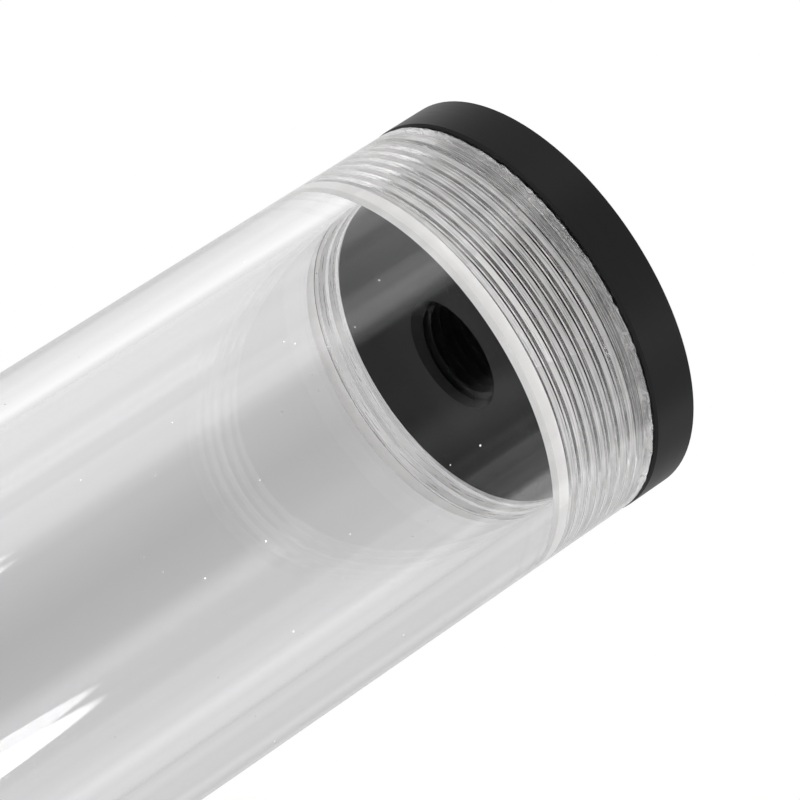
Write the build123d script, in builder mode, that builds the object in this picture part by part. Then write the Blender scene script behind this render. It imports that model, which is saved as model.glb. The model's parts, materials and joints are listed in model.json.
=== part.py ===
from build123d import *
import os
from math import ceil, cos, radians, sin, tan

os.makedirs("parts", exist_ok=True)

# Water cooling reservoir, in millimetres. It stands on its bottom cap, with the tube's axis on Z.
# The origin is the centre of the bottom cap's outer face.

# Clear tube
tube_diameter = 50.0
tube_wall = 5.0
tube_length = 178.0
tube_edge_break = 0.2

# Caps
flange_overhang = 0.1
flange_thickness = 5.8
flange_chamfer = 0.3
flange_edge_break = 0.1
seat_gap = 0.2
spigot_length = 8.4
spigot_chamfer = 0.7

# Cap thread, a fine metric form inside each end of the tube, with a relief behind it
cap_thread_in_wall = 1.0
cap_thread_pitch = 1.5
cap_thread_angle = 60.0
cap_thread_clearance = 0.25
cap_thread_length = 10.3
relief_width = 1.4
relief_depth = 0.1
relief_slope = 0.5

# Cap seal, at the root of the spigot and inside a counterbore of the tube
seal_bore_step = 0.2
seal_bore_depth = 1.1
seal_groove_width = 1.95
cap_ring_section = 1.2
ring_clearance = 0.05

# Ports, for a quarter inch pipe thread. The fill and drain ports are threaded right through. The inlet
# is threaded for its standpipe alone, and where a hose fitting goes it and the outlet keep the plain wall
# that such a thread is cut in.
port_thread_diameter = 13.157
port_thread_depth = 0.856
port_thread_pitch = 1.337
port_thread_angle = 55.0
port_thread_clearance = 0.25
port_chamfer = 0.35
port_inset = 8.4
inlet_angle = 90.0
outlet_angle = 210.0
drain_angle = 330.0

# Ring cut in the inlet port, where the standpipe's thread ends
inlet_relief_width = 1.6
inlet_relief_depth = 0.1
inlet_relief_overlap = 0.4

# Threaded ends of the plugs and the standpipe
stud_length = 6.2
stud_neck_length = 1.5
stud_neck_depth = 0.1
stud_chamfer = 0.5

# Stop plugs
plug_head_diameter = 18.0
plug_head_height = 3.2
plug_head_chamfer = 0.4
plug_gap = 0.15
plug_ring_section = 1.2
plug_ring_inner_diameter = 14.3
flute_count = 24
flute_radius = 0.6
flute_depth = 0.25
hex_across_flats = 6.0
hex_depth = 4.0
recess_clearance = 0.5
recess_sink = 0.3

# Inlet standpipe
standpipe_height = 62.0
standpipe_diameter = 11.0
standpipe_bore = 8.0
standpipe_collar_diameter = 15.0
standpipe_collar_height = 2.0
standpipe_edge_break = 0.4

# Cross that stands in the outlet's mouth, with its sleeve in a counterbore
cross_bore_diameter = 12.3
cross_bore_clearance = 0.05
cross_sleeve_length = 4.0
cross_sleeve_wall = 0.8
cross_rim_diameter = 15.0
cross_rim_height = 1.2
cross_rim_ledge = 0.5
cross_height = 12.0
cross_thickness = 1.6
cross_corner_radius = 2.0

# A thread's cutting shape reaches this far past the crests
overshoot = 0.1

# Radii and heights
tube_radius = tube_diameter / 2
bore_radius = tube_radius - tube_wall
flange_radius = tube_radius + flange_overhang
tube_bottom = flange_thickness + seat_gap
tube_top = tube_bottom + tube_length
total_height = tube_top + seat_gap + flange_thickness
bottom_face = tube_bottom + spigot_length
top_face = tube_top - spigot_length
cap_depth = flange_thickness + seat_gap + spigot_length

# Cap thread, with its groove's floor an eighth of the pitch wide in the tube and a quarter on the spigot
cap_thread_depth = cap_thread_pitch * 5 / 16 / tan(radians(cap_thread_angle / 2))
tube_major = bore_radius + cap_thread_in_wall
tube_minor = tube_major - cap_thread_depth
spigot_major = tube_major - cap_thread_clearance
spigot_minor = tube_minor - cap_thread_clearance
relief_start = seal_bore_depth + cap_thread_length
relief_end = relief_start + relief_width
relief_middle = relief_start + relief_width / 2

# Cap seal
seal_radius = tube_major + seal_bore_step
seal_floor = seal_radius - cap_ring_section - 2 * ring_clearance
cap_ring_centre = seal_radius - ring_clearance - cap_ring_section / 2
cap_ring_offset = seat_gap - ring_clearance - cap_ring_section / 2

# Port thread
port_major = port_thread_diameter / 2
port_minor = port_major - port_thread_depth
port_flat = port_thread_pitch / 6
port_mouth = port_major + port_chamfer
stud_major = port_major - port_thread_clearance
stud_minor = port_minor - port_thread_clearance
stud_neck = stud_minor - stud_neck_depth

# Inlet port's ring
inlet_relief_top = bottom_face - stud_length + inlet_relief_overlap
inlet_relief_middle = inlet_relief_top - inlet_relief_width / 2

# Plug
plug_radius = plug_head_diameter / 2
plug_ring_centre = (plug_ring_inner_diameter + plug_ring_section) / 2
plug_groove_inner = plug_ring_centre - plug_ring_section / 2 - ring_clearance
plug_groove_outer = plug_ring_centre + plug_ring_section / 2 + ring_clearance
plug_groove_depth = plug_ring_section + 2 * ring_clearance - plug_gap
plug_ring_offset = ring_clearance + plug_ring_section / 2
recess_depth = plug_gap + plug_head_height + recess_sink
recess_radius = plug_radius + recess_clearance
fill_seat = total_height + plug_gap
drain_seat = recess_depth - plug_gap

# Port places on the bottom cap, on a circle this far in from the tube's bore
port_circle = bore_radius - port_inset
inlet_x = port_circle * cos(radians(inlet_angle))
inlet_y = port_circle * sin(radians(inlet_angle))
outlet_x = port_circle * cos(radians(outlet_angle))
outlet_y = port_circle * sin(radians(outlet_angle))
drain_x = port_circle * cos(radians(drain_angle))
drain_y = port_circle * sin(radians(drain_angle))


def half_turns(length, pitch):
    """The shortest run of whole half turns that is no shorter than this length."""
    return ceil(2 * length / pitch) * pitch / 2


def thread_groove(pitch, angle, height, floor_radius, mouth_radius, floor_width):
    """The solid that cuts a helical groove, starting at height 0 on the X axis, in half turns."""
    rise = abs(mouth_radius - floor_radius) * tan(radians(angle / 2))
    corners = [
        (floor_radius, -floor_width / 2),
        (mouth_radius, -floor_width / 2 - rise),
        (mouth_radius, floor_width / 2 + rise),
        (floor_radius, floor_width / 2),
    ]
    count = round(2 * height / pitch)
    faces = []
    for index in range(count):
        turn = Location((0, 0, index * pitch / 2), (0, 0, 180 * index))
        edges = []
        for radius, offset in corners:
            edges.append(Edge.make_helix(pitch, pitch / 2, radius).moved(turn * Location((0, 0, offset))))
        for side in range(4):
            faces.append(Face.make_surface_from_curves(edges[side], edges[(side + 1) % 4]))
        if index == 0:
            faces.append(Face(Wire.make_polygon([edge @ 0 for edge in edges], close=True)))
        if index == count - 1:
            faces.append(Face(Wire.make_polygon([edge @ 1 for edge in edges], close=True)))
    with BuildPart() as groove:
        add(Solid(Shell(faces)))
    return groove.part


def hole_thread(x, y, z, pitch):
    """Where a hole's groove starts, turned so that grooves of one pitch share one helix."""
    return Location((x, y, z), (0, 0, 360 * z / pitch))


def stud_thread(x, y, z, pitch):
    """Where a stud's groove starts, half a turn behind the hole's, so that its crests lie between."""
    return Location((x, y, z), (0, 0, 360 * z / pitch + 180))


# The tube's groove, from the relief out past the end
tube_groove_height = half_turns(relief_middle + cap_thread_pitch, cap_thread_pitch)
tube_groove = thread_groove(
    cap_thread_pitch,
    cap_thread_angle,
    tube_groove_height,
    tube_major,
    tube_minor - overshoot,
    cap_thread_pitch / 8,
)

# A spigot's groove, from the seal's groove out past the face
spigot_start = seal_groove_width / 2 - seat_gap
spigot_groove_height = half_turns(spigot_length + cap_thread_pitch - spigot_start, cap_thread_pitch)
spigot_groove = thread_groove(
    cap_thread_pitch,
    cap_thread_angle,
    spigot_groove_height,
    spigot_minor,
    spigot_major + overshoot,
    cap_thread_pitch / 4,
)

# A port's groove, through the whole cap
port_groove_height = half_turns(cap_depth + 2 * port_thread_pitch, port_thread_pitch)
port_groove = thread_groove(
    port_thread_pitch,
    port_thread_angle,
    port_groove_height,
    port_major,
    port_minor - overshoot,
    port_flat,
)

# The groove for the standpipe, from the inlet port's ring out past the cap's inner face
inlet_groove_height = half_turns(bottom_face - inlet_relief_middle + port_thread_pitch, port_thread_pitch)
inlet_groove = thread_groove(
    port_thread_pitch,
    port_thread_angle,
    inlet_groove_height,
    port_major,
    port_minor - overshoot,
    port_flat,
)

# A stud's groove, from its neck out past its end
stud_groove_height = half_turns(stud_length - stud_neck_length / 2 + port_thread_pitch, port_thread_pitch)
stud_groove = thread_groove(
    port_thread_pitch,
    port_thread_angle,
    stud_groove_height,
    stud_minor,
    stud_major + overshoot,
    port_flat,
)

# Half sections as radius and distance: into the tube from its end, out of it for a cap,
# and out of the port from a plug's seat
tube_end_section = [
    (tube_radius, tube_edge_break),
    (tube_radius - tube_edge_break, 0),
    (seal_radius, 0),
    (seal_radius, seal_bore_depth),
    (tube_minor, seal_bore_depth),
    (tube_minor, relief_start),
    (tube_major + relief_depth, relief_start),
    (tube_major + relief_depth, relief_end),
    (bore_radius, relief_end + relief_slope),
]
cap_section = [
    (0, -spigot_length),
    (spigot_major - spigot_chamfer, -spigot_length),
    (spigot_major, -spigot_length + spigot_chamfer),
    (spigot_major, seat_gap - seal_groove_width),
    (seal_floor, seat_gap - seal_groove_width),
    (seal_floor, seat_gap),
    (flange_radius - flange_chamfer, seat_gap),
    (flange_radius, seat_gap + flange_chamfer),
    (flange_radius, seat_gap + flange_thickness - flange_edge_break),
    (flange_radius - flange_edge_break, seat_gap + flange_thickness),
    (0, seat_gap + flange_thickness),
]
plug_section = [
    (0, -stud_length),
    (stud_major - stud_chamfer, -stud_length),
    (stud_major, -stud_length + stud_chamfer),
    (stud_major, -stud_neck_length),
    (stud_neck, -stud_neck_length),
    (stud_neck, 0),
    (plug_groove_inner, 0),
    (plug_groove_inner, plug_groove_depth),
    (plug_groove_outer, plug_groove_depth),
    (plug_groove_outer, 0),
    (plug_radius, 0),
    (plug_radius, plug_head_height - plug_head_chamfer),
    (plug_radius - plug_head_chamfer, plug_head_height),
    (0, plug_head_height),
]

# Reservoir tube: clear, with a seal's counterbore, a thread and its relief inside each end
with BuildPart() as reservoir_tube:
    with BuildSketch(Plane.XZ):
        with BuildLine():
            Polyline(
                *[(radius, tube_bottom + depth) for radius, depth in tube_end_section],
                *[(radius, tube_top - depth) for radius, depth in reversed(tube_end_section)],
                close=True,
            )
        make_face()
    revolve(axis=Axis.Z)
    with Locations(
        hole_thread(0, 0, tube_bottom + relief_middle - tube_groove_height, cap_thread_pitch),
        hole_thread(0, 0, tube_top - relief_middle, cap_thread_pitch),
    ):
        add(tube_groove, mode=Mode.SUBTRACT)
reservoir_tube.part.label = "reservoir_tube"
export_step(reservoir_tube.part, "parts/reservoir_tube.step")

# Top cap: the fill port goes through its middle
with BuildPart() as top_cap:
    with BuildSketch(Plane.XZ):
        with BuildLine():
            Polyline(*[(radius, tube_top + out) for radius, out in cap_section], close=True)
        make_face()
    revolve(axis=Axis.Z)
    with BuildSketch(Plane.XY.offset(top_face)):
        Circle(port_minor)
    extrude(amount=cap_depth, mode=Mode.SUBTRACT)
    port_edges = top_cap.edges().filter_by(lambda edge: edge.geom_type == GeomType.CIRCLE)
    chamfer(port_edges.filter_by(lambda edge: abs(edge.radius - port_minor) < 0.001), port_mouth - port_minor)
    with Locations(
        stud_thread(0, 0, tube_top - spigot_start - spigot_groove_height, cap_thread_pitch),
    ):
        add(spigot_groove, mode=Mode.SUBTRACT)
    with Locations(hole_thread(0, 0, top_face - port_thread_pitch, port_thread_pitch)):
        add(port_groove, mode=Mode.SUBTRACT)
top_cap.part.label = "top_cap"
export_step(top_cap.part, "parts/top_cap.step")

# Bottom cap: inlet, outlet and drain ports, with a recess that hides the drain plug's head
with BuildPart() as bottom_cap:
    with BuildSketch(Plane.XZ):
        with BuildLine():
            Polyline(*[(radius, tube_bottom - out) for radius, out in cap_section], close=True)
        make_face()
    revolve(axis=Axis.Z)
    with BuildSketch():
        with Locations((inlet_x, inlet_y), (outlet_x, outlet_y), (drain_x, drain_y)):
            Circle(port_minor)
    extrude(amount=cap_depth, mode=Mode.SUBTRACT)
    port_edges = bottom_cap.edges().filter_by(lambda edge: edge.geom_type == GeomType.CIRCLE)
    chamfer(port_edges.filter_by(lambda edge: abs(edge.radius - port_minor) < 0.001), port_mouth - port_minor)
    with BuildSketch():
        with Locations((drain_x, drain_y)):
            Circle(recess_radius)
    extrude(amount=recess_depth, mode=Mode.SUBTRACT)
    drain_edges = bottom_cap.edges().filter_by_position(Axis.Z, recess_depth, recess_depth)
    drain_edges = drain_edges.filter_by(lambda edge: edge.radius < recess_radius - recess_clearance)
    chamfer(drain_edges, port_mouth - port_minor)
    with BuildSketch(Plane.XY.offset(bottom_face - cross_sleeve_length)):
        with Locations((outlet_x, outlet_y)):
            Circle(cross_bore_diameter / 2)
    extrude(amount=cross_sleeve_length, mode=Mode.SUBTRACT)
    with BuildSketch(Plane.XY.offset(inlet_relief_top - inlet_relief_width)):
        with Locations((inlet_x, inlet_y)):
            Circle(port_major + inlet_relief_depth)
    extrude(amount=inlet_relief_width, mode=Mode.SUBTRACT)
    with Locations(stud_thread(0, 0, tube_bottom + spigot_start, cap_thread_pitch)):
        add(spigot_groove, mode=Mode.SUBTRACT)
    with Locations(hole_thread(inlet_x, inlet_y, inlet_relief_middle, port_thread_pitch)):
        add(inlet_groove, mode=Mode.SUBTRACT)
    with Locations(hole_thread(drain_x, drain_y, -port_thread_pitch, port_thread_pitch)):
        add(port_groove, mode=Mode.SUBTRACT)
bottom_cap.part.label = "bottom_cap"
export_step(bottom_cap.part, "parts/bottom_cap.step")

# Cap seals, each in the groove at the root of its cap's spigot
with BuildPart() as top_cap_o_ring:
    with BuildSketch(Plane.XZ):
        with Locations((cap_ring_centre, tube_top + cap_ring_offset)):
            Circle(cap_ring_section / 2)
    revolve(axis=Axis.Z)
top_cap_o_ring.part.label = "top_cap_o_ring"
export_step(top_cap_o_ring.part, "parts/top_cap_o_ring.step")

with BuildPart() as bottom_cap_o_ring:
    with BuildSketch(Plane.XZ):
        with Locations((cap_ring_centre, tube_bottom - cap_ring_offset)):
            Circle(cap_ring_section / 2)
    revolve(axis=Axis.Z)
bottom_cap_o_ring.part.label = "bottom_cap_o_ring"
export_step(bottom_cap_o_ring.part, "parts/bottom_cap_o_ring.step")

# Fill plug: fluted head with a hexagon socket, and its seal's groove under the head
with BuildPart() as fill_plug:
    with BuildSketch(Plane.XZ):
        with BuildLine():
            Polyline(*[(radius, fill_seat + out) for radius, out in plug_section], close=True)
        make_face()
    revolve(axis=Axis.Z)
    with BuildSketch(Plane.XY.offset(fill_seat)):
        with PolarLocations(plug_radius + flute_radius - flute_depth, flute_count):
            Circle(flute_radius)
    extrude(amount=plug_head_height, mode=Mode.SUBTRACT)
    with BuildSketch(Plane.XY.offset(fill_seat + plug_head_height - hex_depth)):
        RegularPolygon(hex_across_flats / 2, 6, major_radius=False)
    extrude(amount=hex_depth, mode=Mode.SUBTRACT)
    with Locations(
        stud_thread(0, 0, fill_seat - stud_neck_length / 2 - stud_groove_height, port_thread_pitch),
    ):
        add(stud_groove, mode=Mode.SUBTRACT)
fill_plug.part.label = "fill_plug"
export_step(fill_plug.part, "parts/fill_plug.step")

with BuildPart() as fill_plug_o_ring:
    with BuildSketch(Plane.XZ):
        with Locations((plug_ring_centre, total_height + plug_ring_offset)):
            Circle(plug_ring_section / 2)
    revolve(axis=Axis.Z)
fill_plug_o_ring.part.label = "fill_plug_o_ring"
export_step(fill_plug_o_ring.part, "parts/fill_plug_o_ring.step")

# Drain plug: the same plug, upside down in the bottom cap's recess
drain_axis = Axis((drain_x, drain_y, 0), (0, 0, 1))
with BuildPart() as drain_plug:
    with BuildSketch(Plane.XZ.offset(-drain_y)):
        with BuildLine():
            Polyline(*[(drain_x + radius, drain_seat - out) for radius, out in plug_section], close=True)
        make_face()
    revolve(axis=drain_axis)
    with BuildSketch(Plane.XY.offset(drain_seat - plug_head_height)):
        with Locations((drain_x, drain_y)):
            with PolarLocations(plug_radius + flute_radius - flute_depth, flute_count):
                Circle(flute_radius)
    extrude(amount=plug_head_height, mode=Mode.SUBTRACT)
    with BuildSketch(Plane.XY.offset(drain_seat - plug_head_height)):
        with Locations((drain_x, drain_y)):
            RegularPolygon(hex_across_flats / 2, 6, major_radius=False)
    extrude(amount=hex_depth, mode=Mode.SUBTRACT)
    with Locations(stud_thread(drain_x, drain_y, drain_seat + stud_neck_length / 2, port_thread_pitch)):
        add(stud_groove, mode=Mode.SUBTRACT)
drain_plug.part.label = "drain_plug"
export_step(drain_plug.part, "parts/drain_plug.step")

with BuildPart() as drain_plug_o_ring:
    with BuildSketch(Plane.XZ.offset(-drain_y)):
        with Locations((drain_x + plug_ring_centre, recess_depth - plug_ring_offset)):
            Circle(plug_ring_section / 2)
    revolve(axis=drain_axis)
drain_plug_o_ring.part.label = "drain_plug_o_ring"
export_step(drain_plug_o_ring.part, "parts/drain_plug_o_ring.step")

# Inlet standpipe: a clear pipe screwed into the inlet port from inside, with a collar on the cap's face
with BuildPart() as inlet_standpipe:
    with BuildSketch(Plane.XZ.offset(-inlet_y)):
        with BuildLine():
            Polyline(
                (inlet_x + standpipe_bore / 2, bottom_face - stud_length),
                (inlet_x + stud_major - stud_chamfer, bottom_face - stud_length),
                (inlet_x + stud_major, bottom_face - stud_length + stud_chamfer),
                (inlet_x + stud_major, bottom_face - stud_neck_length),
                (inlet_x + stud_neck, bottom_face - stud_neck_length),
                (inlet_x + stud_neck, bottom_face),
                (inlet_x + standpipe_collar_diameter / 2, bottom_face),
                (inlet_x + standpipe_collar_diameter / 2, bottom_face + standpipe_collar_height),
                (inlet_x + standpipe_diameter / 2, bottom_face + standpipe_collar_height),
                (inlet_x + standpipe_diameter / 2, bottom_face + standpipe_height - standpipe_edge_break),
                (inlet_x + standpipe_diameter / 2 - standpipe_edge_break, bottom_face + standpipe_height),
                (inlet_x + standpipe_bore / 2, bottom_face + standpipe_height),
                close=True,
            )
        make_face()
    revolve(axis=Axis((inlet_x, inlet_y, 0), (0, 0, 1)))
    with Locations(
        stud_thread(
            inlet_x, inlet_y, bottom_face - stud_neck_length / 2 - stud_groove_height, port_thread_pitch
        ),
    ):
        add(stud_groove, mode=Mode.SUBTRACT)
inlet_standpipe.part.label = "inlet_standpipe"
export_step(inlet_standpipe.part, "parts/inlet_standpipe.step")

# Cross over the outlet: a sleeve in the port's mouth, a rim on the cap's face and two crossing plates
cross_sleeve_radius = cross_bore_diameter / 2 - cross_bore_clearance
cross_width = cross_rim_diameter - 2 * cross_rim_ledge
with BuildPart() as outlet_anti_vortex_cross:
    with BuildSketch(Plane.XY.offset(bottom_face - cross_sleeve_length)):
        with Locations((outlet_x, outlet_y)):
            Circle(cross_sleeve_radius)
    extrude(amount=cross_sleeve_length)
    with BuildSketch(Plane.XY.offset(bottom_face)):
        with Locations((outlet_x, outlet_y)):
            Circle(cross_rim_diameter / 2)
    extrude(amount=cross_rim_height)
    with BuildSketch(Plane.XY.offset(bottom_face - cross_sleeve_length)):
        with Locations((outlet_x, outlet_y)):
            Circle(cross_sleeve_radius - cross_sleeve_wall)
    extrude(amount=cross_sleeve_length + cross_rim_height, mode=Mode.SUBTRACT)
    with BuildSketch(Plane.XZ.offset(-outlet_y)):
        with Locations((outlet_x, bottom_face + (cross_rim_height + cross_height) / 2)):
            plate = Rectangle(cross_width, cross_height - cross_rim_height)
        fillet(plate.vertices().group_by(Axis.Y)[-1], cross_corner_radius)
    extrude(amount=cross_thickness / 2, both=True)
    with BuildSketch(Plane.YZ.offset(outlet_x)):
        with Locations((outlet_y, bottom_face + (cross_rim_height + cross_height) / 2)):
            plate = Rectangle(cross_width, cross_height - cross_rim_height)
        fillet(plate.vertices().group_by(Axis.Y)[-1], cross_corner_radius)
    extrude(amount=cross_thickness / 2, both=True)
outlet_anti_vortex_cross.part.label = "outlet_anti_vortex_cross"
export_step(outlet_anti_vortex_cross.part, "parts/outlet_anti_vortex_cross.step")
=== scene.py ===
import json
from math import pi, radians, tan

import bpy
from mathutils import Matrix, Vector


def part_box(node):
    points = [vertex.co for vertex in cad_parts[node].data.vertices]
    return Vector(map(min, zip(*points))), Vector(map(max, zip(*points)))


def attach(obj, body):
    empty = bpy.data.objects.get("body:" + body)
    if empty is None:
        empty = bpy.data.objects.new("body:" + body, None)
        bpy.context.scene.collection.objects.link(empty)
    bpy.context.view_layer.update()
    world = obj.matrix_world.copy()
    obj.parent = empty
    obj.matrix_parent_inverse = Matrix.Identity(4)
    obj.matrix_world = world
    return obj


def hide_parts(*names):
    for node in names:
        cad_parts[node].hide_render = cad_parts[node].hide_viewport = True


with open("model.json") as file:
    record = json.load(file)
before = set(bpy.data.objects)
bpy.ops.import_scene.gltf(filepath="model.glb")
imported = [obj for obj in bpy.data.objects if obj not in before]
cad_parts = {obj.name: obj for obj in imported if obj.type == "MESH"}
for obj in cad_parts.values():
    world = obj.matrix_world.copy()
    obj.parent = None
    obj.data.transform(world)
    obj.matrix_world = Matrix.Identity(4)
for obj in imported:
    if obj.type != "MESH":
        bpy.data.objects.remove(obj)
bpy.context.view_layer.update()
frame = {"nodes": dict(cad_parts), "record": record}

MM = 0.001

# Camera: in front and low, looking up at the top cap, rolled so that the tube climbs to the upper right
eye = (0, -453.86 * MM, -63.51 * MM)
camera_turn = radians(-0.13)
camera_climb = radians(27.03)
camera_roll = radians(56.65)
lens_mm = 206.0
sensor_mm = 36.0
nearest_seen = 10 * MM

# Tube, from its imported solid, with the sizes that only its inside shows
tube_low, tube_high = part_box("reservoir_tube")
tube_radius = tube_high[0]
tube_bottom = tube_low[2]
tube_top = tube_high[2]
bore_radius = 20.0 * MM
edge_break = 0.2 * MM
seal_bore_radius = 21.2 * MM
seal_bore_depth = 1.1 * MM

# Mouth of the top cap's port
port_mouth_radius = 6.93 * MM

# Thread inside each end of the tube, and the relief behind it, by their depth from the end
thread_pitch = 1.5 * MM
thread_major = 21.0 * MM
thread_minor = 20.188 * MM
thread_root_width = thread_pitch / 8
thread_flank_angle = radians(30)
thread_turns = 9
thread_end = 11.4 * MM
relief_radius = 21.1 * MM
relief_end = 12.8 * MM
relief_slope = 0.5 * MM

# Light tent: brightness of its cloth by degrees from straight behind the reservoir, right positive
tent_lights = [
    (-180, 0.01),
    (-147, 0.01),
    (-143, 1.1),
    (-139, 1.3),
    (-135, 2.05),
    (-130, 1.95),
    (-124, 0.55),
    (-117, 1.4),
    (-107, 0.25),
    (-96, 1.3),
    (-88, 0.55),
    (-76, 0.85),
    (-57, 0.8),
    (-51, 1.05),
    (-38, 0.92),
    (-10, 0.78),
    (0, 0.55),
    (15, 0.75),
    (24, 0.65),
    (50, 0.68),
    (63, 0.48),
    (72, 1.1),
    (81, 2.1),
    (87, 0.5),
    (98, 0.1),
    (103, 0.75),
    (111, 0.8),
    (113, 0.05),
    (122, 0.35),
    (127, 0.02),
    (149, 0.25),
    (162, 0.01),
]

# A ramp's shades stop at 1, so the cloth's brightness is divided by this there and multiplied back
tent_scale = 2.5

# Above and below the cloth is a plain fill. It comes in between these heights of a direction one unit long
tent_roof = (0.56, 0.7)
tent_table = (0.36, 0.2)

# The fill's brightness in front of the reservoir and behind it, and the y at which it turns to the front's
front_fill = 2.2
back_fill = 0.8
fill_turn = (0.3, -0.3)

# A small bright lamp, low in front and to the right: its direction, and the cosines of its soft edge
lamp_towards = Vector((0.707, -0.672, 0.221))
lamp_edge = (0.9871, 0.9884)
lamp_light = 12.0

# Thin extra reach of a cutting shape past what it cuts
overshoot = 0.1 * MM

tube_steps = 512
thread_steps = 128

# Slack for telling from a point's place which of the tube's surfaces it is on
slack = 0.02 * MM

floor_radius = 250 * MM

# Chips on the tube's upper rim: the band that they reach into, their length and their depth.
# The guard is a thin ring under the band, which keeps the chips out of the wall's shading.
chip_band = 0.55 * MM
chip_guard = 0.03 * MM
chip_length = 1.2 * MM
chip_depth = 0.25 * MM


def start_piece(name):
    """Nothing selected, and a new mesh of one point at the origin, open in edit mode."""
    bpy.ops.object.select_all(action="DESELECT")
    bpy.ops.mesh.primitive_plane_add(size=2 * MM)
    piece = bpy.context.object
    piece.name = name
    bpy.ops.object.mode_set(mode="EDIT")
    bpy.ops.mesh.select_mode(type="VERT")
    bpy.ops.mesh.select_all(action="SELECT")
    bpy.ops.mesh.merge(type="CENTER")
    return piece


def draw_outline(points):
    """Moves the open piece's one point to the first of these and extrudes it along the rest, closed."""
    bpy.ops.transform.translate(value=points[0])
    for here, there in zip(points, points[1:]):
        step = Vector(there) - Vector(here)
        bpy.ops.mesh.extrude_vertices_move(TRANSFORM_OT_translate={"value": step})
    bpy.ops.mesh.select_all(action="SELECT")
    bpy.ops.mesh.edge_face_add()
    bpy.ops.mesh.delete(type="ONLY_FACE")
    bpy.ops.mesh.select_all(action="SELECT")


def close_piece(piece):
    """Merges doubles, turns the faces outwards and leaves edit mode."""
    bpy.ops.mesh.select_all(action="SELECT")
    bpy.ops.mesh.remove_doubles(threshold=0.002 * MM)
    bpy.ops.mesh.normals_make_consistent(inside=False)
    bpy.ops.object.mode_set(mode="OBJECT")


def lathe(name, section, steps):
    """A solid turned from (radius, height) points about the upright axis."""
    piece = start_piece(name)
    draw_outline([(radius, 0, height) for radius, height in section])
    bpy.ops.mesh.spin(steps=steps, angle=2 * pi, center=(0, 0, 0), axis=(0, 0, 1))
    close_piece(piece)
    return piece


def apply_modifiers(piece):
    bpy.ops.object.select_all(action="DESELECT")
    piece.select_set(True)
    bpy.context.view_layer.objects.active = piece
    for modifier in list(piece.modifiers):
        bpy.ops.object.modifier_apply(modifier=modifier.name)


def cut(piece, cutter):
    """Takes the cutter out of the piece, and deletes it."""
    boolean = piece.modifiers.new("cut", "BOOLEAN")
    boolean.operation = "DIFFERENCE"
    boolean.solver = "MANIFOLD"
    boolean.object = cutter
    apply_modifiers(piece)
    bpy.data.objects.remove(cutter)


def groove_section():
    """The four corners of the internal thread's groove, reaching a little past its mouth."""
    reach = thread_minor - overshoot
    half_root = thread_root_width / 2
    half_mouth = half_root + (thread_major - reach) * tan(thread_flank_angle)
    return [
        (thread_major, -half_root),
        (reach, -half_mouth),
        (reach, half_mouth),
        (thread_major, half_root),
    ]


def groove_cutter(low):
    """What the tap takes away: the groove's section, wound up from this height in the thread's phase."""
    piece = start_piece("groove")
    draw_outline([(radius, 0, height) for radius, height in groove_section()])
    bpy.ops.object.mode_set(mode="OBJECT")
    screw = piece.modifiers.new("screw", "SCREW")
    screw.steps = thread_steps
    screw.render_steps = thread_steps
    screw.screw_offset = thread_pitch
    screw.iterations = thread_turns
    screw.use_merge_vertices = True
    screw.merge_threshold = 0.001 * MM
    apply_modifiers(piece)
    bpy.ops.object.mode_set(mode="EDIT")
    bpy.ops.mesh.select_all(action="DESELECT")
    bpy.ops.mesh.select_mode(type="EDGE")
    bpy.ops.mesh.select_non_manifold(extend=False)
    bpy.ops.mesh.fill_holes(sides=0)
    close_piece(piece)
    turn = Matrix.Rotation(2 * pi * low / thread_pitch, 4, "Z")
    piece.matrix_world = Matrix.Translation((0, 0, low)) @ turn
    bpy.ops.object.transform_apply(location=True, rotation=True, scale=False)
    return piece


def chip_rim(tube):
    """Wears the tube's upper outer edge unevenly, as the saw and the lathe left it."""
    deep = tube_top - edge_break - chip_band / 2 - chip_guard / 2
    rim = tube.vertex_groups.new(name="rim")
    for vertex in tube.data.vertices:
        out = Vector((vertex.co.x, vertex.co.y)).length
        if vertex.co.z > deep and out > tube_radius - 1.5 * edge_break:
            rim.add([vertex.index], 1, "REPLACE")
    wear = bpy.data.textures.new("rim_wear", "CLOUDS")
    wear.noise_scale = chip_length
    wear.noise_depth = 3
    wear.contrast = 2
    chips = tube.modifiers.new("chips", "DISPLACE")
    chips.texture = wear
    chips.vertex_group = rim.name
    chips.direction = "Z"
    chips.mid_level = 1
    chips.strength = chip_depth
    apply_modifiers(tube)
    tube.vertex_groups.clear()


def make_tube():
    """The clear tube: polished walls, and a counterbore, a thread and its relief cut in each end."""
    end = [
        (tube_radius, edge_break + chip_band + chip_guard),
        (tube_radius, edge_break + chip_band),
        (tube_radius, edge_break + chip_band / 2),
        (tube_radius, edge_break),
        (tube_radius - edge_break, 0),
        (seal_bore_radius, 0),
        (seal_bore_radius, seal_bore_depth),
        (thread_minor, seal_bore_depth),
        (thread_minor, thread_end),
        (relief_radius, thread_end),
        (relief_radius, relief_end),
        (bore_radius, relief_end + relief_slope),
    ]
    section = [(radius, tube_bottom + depth) for radius, depth in end]
    section += [(radius, tube_top - depth) for radius, depth in reversed(end)]
    tube = lathe("clear_tube", section, tube_steps)
    relief_middle = (thread_end + relief_end) / 2
    lower_start = tube_bottom + relief_middle - thread_turns * thread_pitch
    upper_start = tube_top - relief_middle
    for low in (lower_start, upper_start):
        cut(tube, groove_cutter(low))
    chip_rim(tube)
    bpy.ops.object.shade_smooth_by_angle(angle=radians(25))
    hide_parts("reservoir_tube")
    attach(tube, "tube")
    return tube


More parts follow.
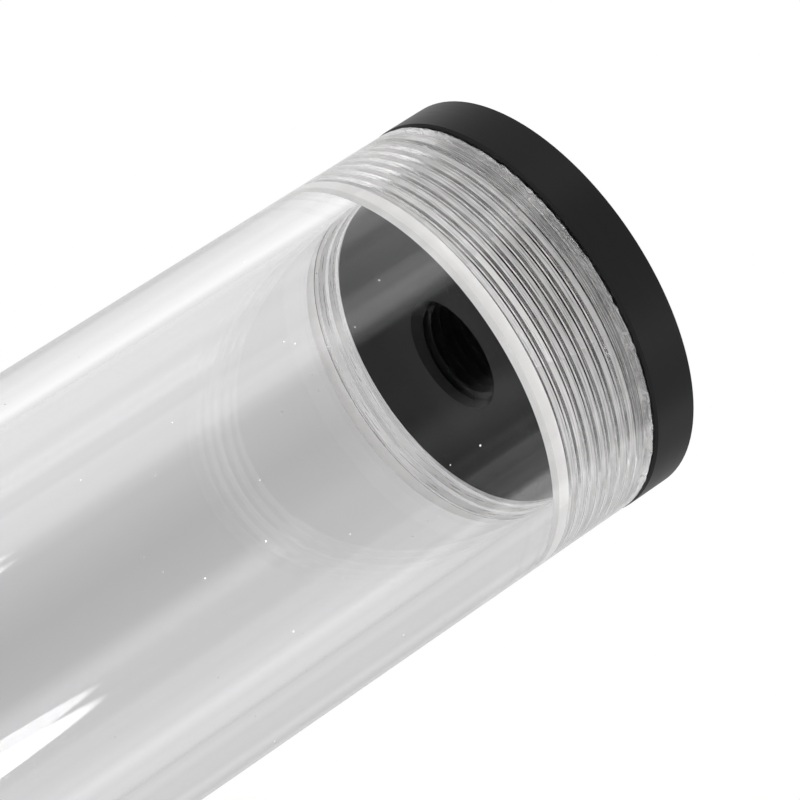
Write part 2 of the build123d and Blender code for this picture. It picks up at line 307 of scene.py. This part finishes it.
class Value:
    """A node's output. Arithmetic and comparisons on it add Math nodes."""

    def __init__(self, nodes, socket):
        self.nodes = nodes
        self.socket = socket

    def maths(self, operation, first, second=None):
        values = {0: first} if second is None else {0: first, 1: second}
        return self.nodes.add("ShaderNodeMath", {"operation": operation}, values)

    def __add__(self, other):
        return self.maths("ADD", self, other)

    def __radd__(self, other):
        return self.maths("ADD", other, self)

    def __sub__(self, other):
        return self.maths("SUBTRACT", self, other)

    def __rsub__(self, other):
        return self.maths("SUBTRACT", other, self)

    def __mul__(self, other):
        return self.maths("MULTIPLY", self, other)

    def __rmul__(self, other):
        return self.maths("MULTIPLY", other, self)

    def __truediv__(self, other):
        return self.maths("DIVIDE", self, other)

    def __pow__(self, other):
        return self.maths("POWER", self, other)

    def __gt__(self, other):
        return self.maths("GREATER_THAN", self, other)

    def __lt__(self, other):
        return self.maths("LESS_THAN", self, other)

    def at_least(self, other):
        return self.maths("MAXIMUM", self, other)

    def at_most(self, other):
        return self.maths("MINIMUM", self, other)

    def __abs__(self):
        return self.maths("ABSOLUTE", self)


class Nodes:
    """A node tree, with one method that adds any node."""

    def __init__(self, tree):
        self.tree = tree

    def put(self, socket, value):
        if isinstance(value, Value):
            self.tree.links.new(value.socket, socket)
        else:
            socket.default_value = value

    def add(self, kind, settings=None, inputs=None, output=0):
        node = self.tree.nodes.new(kind)
        for name, value in (settings or {}).items():
            if name == "stops":
                ramp = node.color_ramp
                while len(ramp.elements) < len(value):
                    ramp.elements.new(0.5)
                for element, (position, shade) in zip(ramp.elements, value):
                    element.position = position
                    element.color = (shade, shade, shade, 1)
            else:
                setattr(node, name, value)
        for name, value in (inputs or {}).items():
            self.put(node.inputs[name], value)
        return Value(self, node.outputs[output])

    def parts(self, vector):
        """The three numbers of a vector."""
        node = self.tree.nodes.new("ShaderNodeSeparateXYZ")
        self.put(node.inputs[0], vector)
        return [Value(self, output) for output in node.outputs]

    def ease(self, value, limits):
        """Runs smoothly from 0 to 1 as the value goes from the first limit to the second."""
        inputs = {"Value": value, "From Min": limits[0], "From Max": limits[1]}
        return self.add("ShaderNodeMapRange", {"interpolation_type": "SMOOTHSTEP"}, inputs)


class Finish(Nodes):
    """A material: a Principled shader that reads patterns by place on the object."""

    def __init__(self, name, constants):
        self.material = bpy.data.materials.new(name)
        self.material.use_nodes = True
        super().__init__(self.material.node_tree)
        self.shader = self.tree.nodes["Principled BSDF"]
        for socket, value in constants.items():
            self.shader.inputs[socket].default_value = value
        self.place = self.add("ShaderNodeTexCoord", output="Object")
        self.x, self.y, self.z = self.parts(self.place)
        self.radius = (self.x * self.x + self.y * self.y) ** 0.5

    def set(self, socket, value):
        self.put(self.shader.inputs[socket], value)

    def noise(self, scale, detail=3.0, roughness=0.5, stretch=None):
        place = self.place
        if stretch:
            place = self.add("ShaderNodeMapping", None, {"Vector": place, "Scale": stretch})
        inputs = {"Vector": place, "Scale": scale, "Detail": detail, "Roughness": roughness}
        return self.add("ShaderNodeTexNoise", None, inputs)

    def specks(self, scale, size, share):
        """Dust: small spots round the points of a scatter, of which this share is left out."""
        place = {"Vector": self.place, "Scale": scale}
        distance = self.add("ShaderNodeTexVoronoi", None, place)
        cell = self.add("ShaderNodeTexVoronoi", None, place, output="Color")
        return (distance < size) * (cell > share)

    def coat(self, constants, share):
        """Mixes a second shader over the first by this share."""
        over = self.tree.nodes.new("ShaderNodeBsdfPrincipled")
        for socket, value in constants.items():
            over.inputs[socket].default_value = value
        mix = self.tree.nodes.new("ShaderNodeMixShader")
        self.put(mix.inputs[0], share)
        self.tree.links.new(self.shader.outputs[0], mix.inputs[1])
        self.tree.links.new(over.outputs[0], mix.inputs[2])
        self.tree.links.new(mix.outputs[0], self.tree.nodes["Material Output"].inputs["Surface"])

    def bump(self, height, distance):
        self.set("Normal", self.add("ShaderNodeBump", None, {"Height": height, "Distance": distance}))


def clear_acrylic():
    """Polished acrylic with a little dust. What was turned, the threads and the ends, stayed frosted."""
    clear = {"Base Color": (0.968, 0.965, 0.972, 1), "Transmission Weight": 1.0, "IOR": 1.49}
    finish = Finish("clear_acrylic", clear)
    middle = (tube_bottom + tube_top) / 2
    half = (tube_top - tube_bottom) / 2
    depth = half - abs(finish.z - middle)
    turned = (finish.radius > bore_radius + slack) * (finish.radius < seal_bore_radius + 5 * slack)
    turned = turned * (depth < relief_end + relief_slope)
    end_face = depth < slack
    thread = (depth > seal_bore_depth) * (depth < thread_end) * turned
    root = (finish.radius > thread_major - 1.5 * slack) * thread
    crest = (finish.radius < thread_minor + 1.5 * slack) * thread
    flank = thread - root - crest
    mouth = turned * (depth < seal_bore_depth)
    relief = turned * (depth > thread_end)
    lines = finish.noise(1.0, 3.0, 0.6, (150, 150, 9000))
    streaks = ((lines - 0.35) * 3.5).at_most(1).at_least(0)
    grain = finish.noise(5000, 3.0, 0.6)
    frost = flank * (0.35 + 0.5 * streaks) + crest * (0.05 + 0.25 * streaks)
    frost = frost + relief * (0.85 + 0.3 * grain) + (mouth + end_face) * (0.1 + 0.4 * streaks)
    specks = finish.specks(700, 0.09, 0.87)
    finish.set("Roughness", frost.at_most(1) * 0.6)
    frosted = {
        "Base Color": (0.97, 0.962, 0.945, 1),
        "Roughness": 0.35,
        "IOR": 1.49,
        "Transmission Weight": 0.25,
    }
    finish.coat(frosted, frost.at_least(specks * 0.7))
    return finish.material


def black_acetal():
    """Turned black acetal: satin, with faint lines from the tool, and smoother within the port's radius."""
    # The base colour is darker than black acetal's own: painted shade that offsets the tent's light where
    # it is brighter than white.
    black = {"Base Color": (0.006, 0.006, 0.0065, 1), "IOR": 1.48, "Specular IOR Level": 0.1}
    finish = Finish("black_acetal", black)
    turning = finish.noise(1.0, 2.0, 0.5, (150, 150, 5000))
    port = finish.radius < port_mouth_radius
    finish.set("Roughness", (0.31 + 0.1 * turning) * (1 - 0.45 * port))
    return finish.material


def black_rubber():
    """Moulded rubber, matt with a fine grain."""
    finish = Finish("black_rubber", {"Base Color": (0.018, 0.018, 0.018, 1), "IOR": 1.52})
    grain = finish.noise(1500, 3.0)
    finish.set("Roughness", 0.55 + 0.2 * grain)
    finish.bump(grain, 0.006 * MM)
    return finish.material


def plated_brass():
    """Nickel plating with a fine grain."""
    finish = Finish("plated_brass", {"Base Color": (0.62, 0.6, 0.56, 1), "Metallic": 1.0})
    grain = finish.noise(700, 4.0, 0.6)
    finish.set("Roughness", 0.22 + 0.15 * grain)
    finish.bump(grain, 0.003 * MM)
    return finish.material


def dress(piece, material):
    piece.data.materials.clear()
    piece.data.materials.append(material)


def make_floor():
    bpy.ops.object.select_all(action="DESELECT")
    bpy.ops.mesh.primitive_circle_add(vertices=128, radius=floor_radius, fill_type="NGON")
    floor = bpy.context.object
    floor.name = "floor"
    finish = Finish("pale_floor", {"Base Color": (0.9, 0.9, 0.9, 1), "Roughness": 0.6})
    dress(floor, finish.material)


def make_world():
    """A light tent: streaky cloth all round, a plain fill above and below it, and a small lamp."""
    world = bpy.data.worlds.new("light_tent")
    bpy.context.scene.world = world
    world.use_nodes = True
    nodes = Nodes(world.node_tree)
    x, y, height = nodes.parts(nodes.add("ShaderNodeTexCoord", output="Generated"))
    around = x.maths("ARCTAN2", x, y) / (2 * pi) + 0.5
    stops = [(0.5 + degrees / 360, light / tent_scale) for degrees, light in tent_lights]
    cloth = nodes.add("ShaderNodeValToRGB", {"stops": stops}, {"Fac": around}) * tent_scale
    beyond = nodes.ease(height, tent_roof).at_least(nodes.ease(height, tent_table))
    front = nodes.ease(y, fill_turn)
    fill = front_fill * front + back_fill * (1 - front)
    towards_lamp = x * lamp_towards.x + y * lamp_towards.y + height * lamp_towards.z
    lamp = nodes.ease(towards_lamp, lamp_edge)
    light = cloth * (1 - beyond) + fill * beyond + lamp_light * lamp
    camera_ray = nodes.add("ShaderNodeLightPath", output="Is Camera Ray")
    background = nodes.tree.nodes["Background"]
    background.inputs["Color"].default_value = (1, 1, 1, 1)
    nodes.put(background.inputs["Strength"], camera_ray + (1 - camera_ray) * light)


def make_camera():
    camera = bpy.data.objects.new("camera", bpy.data.cameras.new("camera"))
    bpy.context.collection.objects.link(camera)
    camera.data.lens = lens_mm
    camera.data.sensor_width = sensor_mm
    camera.data.clip_start = nearest_seen
    turn = Matrix.Rotation(camera_turn, 4, "Z")
    climb = Matrix.Rotation(pi / 2 + camera_climb, 4, "X")
    roll = Matrix.Rotation(camera_roll, 4, "Z")
    camera.matrix_world = Matrix.Translation(eye) @ turn @ climb @ roll
    bpy.context.scene.camera = camera


make_camera()
make_world()
make_floor()

finishes = {
    "clear_acrylic": clear_acrylic(),
    "black_acetal": black_acetal(),
    "black_rubber": black_rubber(),
    "plated_brass": plated_brass(),
}
dress(make_tube(), finishes["clear_acrylic"])
for subpart in frame["record"]["subparts"]:
    node = subpart["node"]
    if node != "reservoir_tube":
        dress(frame["nodes"][node], finishes[subpart["material_slot"]])

bpy.context.scene.view_settings.view_transform = "Standard"
